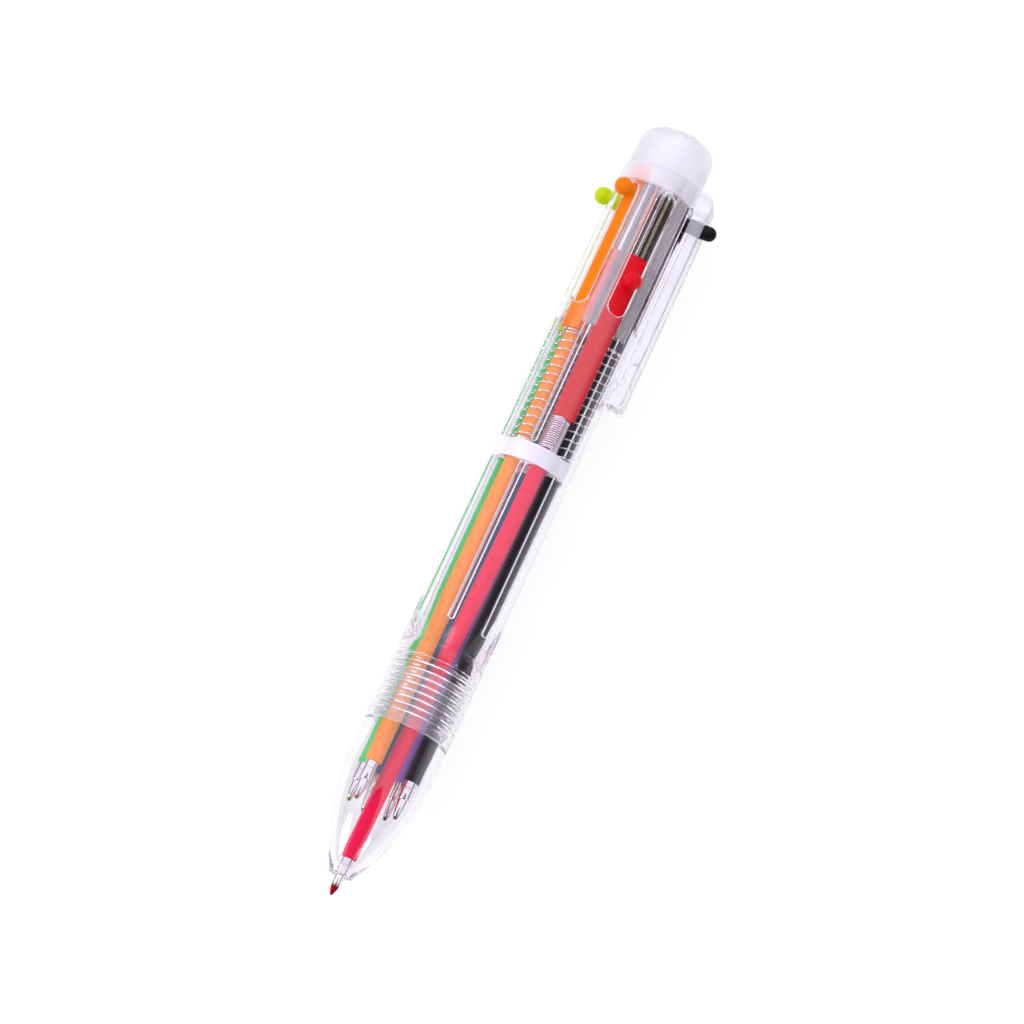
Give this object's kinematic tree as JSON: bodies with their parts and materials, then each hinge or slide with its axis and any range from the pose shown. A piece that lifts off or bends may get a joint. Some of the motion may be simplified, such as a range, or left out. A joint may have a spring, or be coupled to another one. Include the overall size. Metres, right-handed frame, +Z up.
{
  "type": "multicolor slide pen",
  "caption": "Clear-bodied ballpoint pen with separate thumb sliders that each push out a coloured refill, a clip moulded with the barrel and a screw-on nose cone.",
  "frame": {"origin": "centre of the bounding box in plan, at its lowest level, where the pen's two lower knobs rest on a table", "axes": "+X along the pen from the writing tip to the rear cap, +Z up, and the clip on the -Y side"},
  "size_m": [0.1449, 0.0224, 0.0176],
  "materials": {
    "clear_plastic": "clear, polished",
    "frosted_plastic": "clear, lightly frosted",
    "white_plastic": "milky, satin",
    "spring_steel": "bright drawn wire",
    "tip_metal": "turned and plated",
    "ball_metal": "ground ball, wet with ink",
    "ink_plug": "translucent grease",
    "slider_black": "moulded, satin gloss",
    "tube_black": "thin translucent tube",
    "ink_black": "thick wet ink",
    "slider_red": "moulded, satin gloss",
    "tube_red": "thin translucent tube",
    "ink_red": "thick wet ink",
    "slider_orange": "moulded, satin gloss",
    "tube_orange": "thin translucent tube",
    "ink_orange": "thick wet ink",
    "slider_green": "moulded, satin gloss",
    "tube_green": "thin translucent tube",
    "ink_green": "thick wet ink",
    "slider_blue": "moulded, satin gloss",
    "tube_blue": "thin translucent tube",
    "ink_blue": "thick wet ink",
    "slider_purple": "moulded, satin gloss",
    "tube_purple": "thin translucent tube",
    "ink_purple": "thick wet ink"
  },
  "bodies": {
    "pen_body": {"barrel": "clear_plastic", "nose_cone": "clear_plastic", "spring_collar": "white_plastic", "slider_guide": "clear_plastic", "rear_cap": "frosted_plastic", "spring_black": "spring_steel", "spring_red": "spring_steel", "spring_orange": "spring_steel", "spring_green": "spring_steel", "spring_blue": "spring_steel", "spring_purple": "spring_steel"},
    "slider_black": {"slider_black": "slider_black", "refill_tube_black": "tube_black", "ink_black": "ink_black", "ink_plug_black": "ink_plug"},
    "slider_red": {"slider_red": "slider_red", "refill_tube_red": "tube_red", "ink_red": "ink_red", "ink_plug_red": "ink_plug"},
    "slider_orange": {"slider_orange": "slider_orange", "refill_tube_orange": "tube_orange", "ink_orange": "ink_orange", "ink_plug_orange": "ink_plug"},
    "slider_green": {"slider_green": "slider_green", "refill_tube_green": "tube_green", "ink_green": "ink_green", "ink_plug_green": "ink_plug"},
    "slider_blue": {"slider_blue": "slider_blue", "refill_tube_blue": "tube_blue", "ink_blue": "ink_blue", "ink_plug_blue": "ink_plug"},
    "slider_purple": {"slider_purple": "slider_purple", "refill_tube_purple": "tube_purple", "ink_purple": "ink_purple", "ink_plug_purple": "ink_plug"},
    "refill_end_black": {"tip_black": "tip_metal", "ball_black": "ball_metal"},
    "refill_end_red": {"tip_red": "tip_metal", "ball_red": "ball_metal"},
    "refill_end_orange": {"tip_orange": "tip_metal", "ball_orange": "ball_metal"},
    "refill_end_green": {"tip_green": "tip_metal", "ball_green": "ball_metal"},
    "refill_end_blue": {"tip_blue": "tip_metal", "ball_blue": "ball_metal"},
    "refill_end_purple": {"tip_purple": "tip_metal", "ball_purple": "ball_metal"}
  },
  "joints": [
    {"name": "slide_black", "type": "slide", "parent": "pen_body", "child": "slider_black", "axis": [-1, 0, 0], "range_m": [0, 0.0155], "stiffness_N_per_m": 35, "springref_m": -0.012, "deforming": ["spring_black"]},
    {"name": "slide_red", "type": "slide", "parent": "pen_body", "child": "slider_red", "axis": [-1, 0, 0], "range_m": [-0.0155, 0], "deforming": ["spring_red"]},
    {"name": "slide_orange", "type": "slide", "parent": "pen_body", "child": "slider_orange", "axis": [-1, 0, 0], "range_m": [0, 0.0155], "stiffness_N_per_m": 35, "springref_m": -0.012, "deforming": ["spring_orange"]},
    {"name": "slide_green", "type": "slide", "parent": "pen_body", "child": "slider_green", "axis": [-1, 0, 0], "range_m": [0, 0.0155], "stiffness_N_per_m": 35, "springref_m": -0.012, "deforming": ["spring_green"]},
    {"name": "slide_blue", "type": "slide", "parent": "pen_body", "child": "slider_blue", "axis": [-1, 0, 0], "range_m": [0, 0.0155], "stiffness_N_per_m": 35, "springref_m": -0.012, "deforming": ["spring_blue"]},
    {"name": "slide_purple", "type": "slide", "parent": "pen_body", "child": "slider_purple", "axis": [-1, 0, 0], "range_m": [0, 0.0155], "stiffness_N_per_m": 35, "springref_m": -0.012, "deforming": ["spring_purple"]},
    {"name": "bend_black", "type": "hinge", "parent": "slider_black", "child": "refill_end_black", "pos_m": [0.0217, -0.00293, 0.00882], "axis": [0, 0, -1], "range_deg": [0, 3.2], "deforming": ["refill_tube_black", "ink_black", "ink_plug_black", "tip_black", "ball_black"]},
    {"name": "bend_red", "type": "hinge", "parent": "slider_red", "child": "refill_end_red", "pos_m": [0.0062, -0.00085, 0.01242], "axis": [0, -0.866, -0.5], "range_deg": [-3.2, 0], "deforming": ["refill_tube_red", "ink_red", "ink_plug_red", "tip_red", "ball_red"]},
    {"name": "bend_orange", "type": "hinge", "parent": "slider_orange", "child": "refill_end_orange", "pos_m": [0.0217, 0.0033, 0.01242], "axis": [0, -0.866, 0.5], "range_deg": [0, 3.2], "deforming": ["refill_tube_orange", "ink_orange", "ink_plug_orange", "tip_orange", "ball_orange"]},
    {"name": "bend_green", "type": "hinge", "parent": "slider_green", "child": "refill_end_green", "pos_m": [0.0217, 0.00537, 0.00882], "axis": [0, 0, 1], "range_deg": [0, 3.2], "deforming": ["refill_tube_green", "ink_green", "ink_plug_green", "tip_green", "ball_green"]},
    {"name": "bend_blue", "type": "hinge", "parent": "slider_blue", "child": "refill_end_blue", "pos_m": [0.0217, 0.0033, 0.00523], "axis": [0, 0.866, 0.5], "range_deg": [0, 3.2], "deforming": ["refill_tube_blue", "ink_blue", "ink_plug_blue", "tip_blue", "ball_blue"]},
    {"name": "bend_purple", "type": "hinge", "parent": "slider_purple", "child": "refill_end_purple", "pos_m": [0.0217, -0.00085, 0.00523], "axis": [0, 0.866, -0.5], "range_deg": [0, 3.2], "deforming": ["refill_tube_purple", "ink_purple", "ink_plug_purple", "tip_purple", "ball_purple"]}
  ],
  "couplings": [
    {"joint": "bend_black", "follows": "slide_black", "rad_per_m": 3.5957},
    {"joint": "bend_red", "follows": "slide_red", "rad_per_m": 3.5957},
    {"joint": "bend_orange", "follows": "slide_orange", "rad_per_m": 3.5957},
    {"joint": "bend_green", "follows": "slide_green", "rad_per_m": 3.5957},
    {"joint": "bend_blue", "follows": "slide_blue", "rad_per_m": 3.5957},
    {"joint": "bend_purple", "follows": "slide_purple", "rad_per_m": 3.5957}
  ]
}
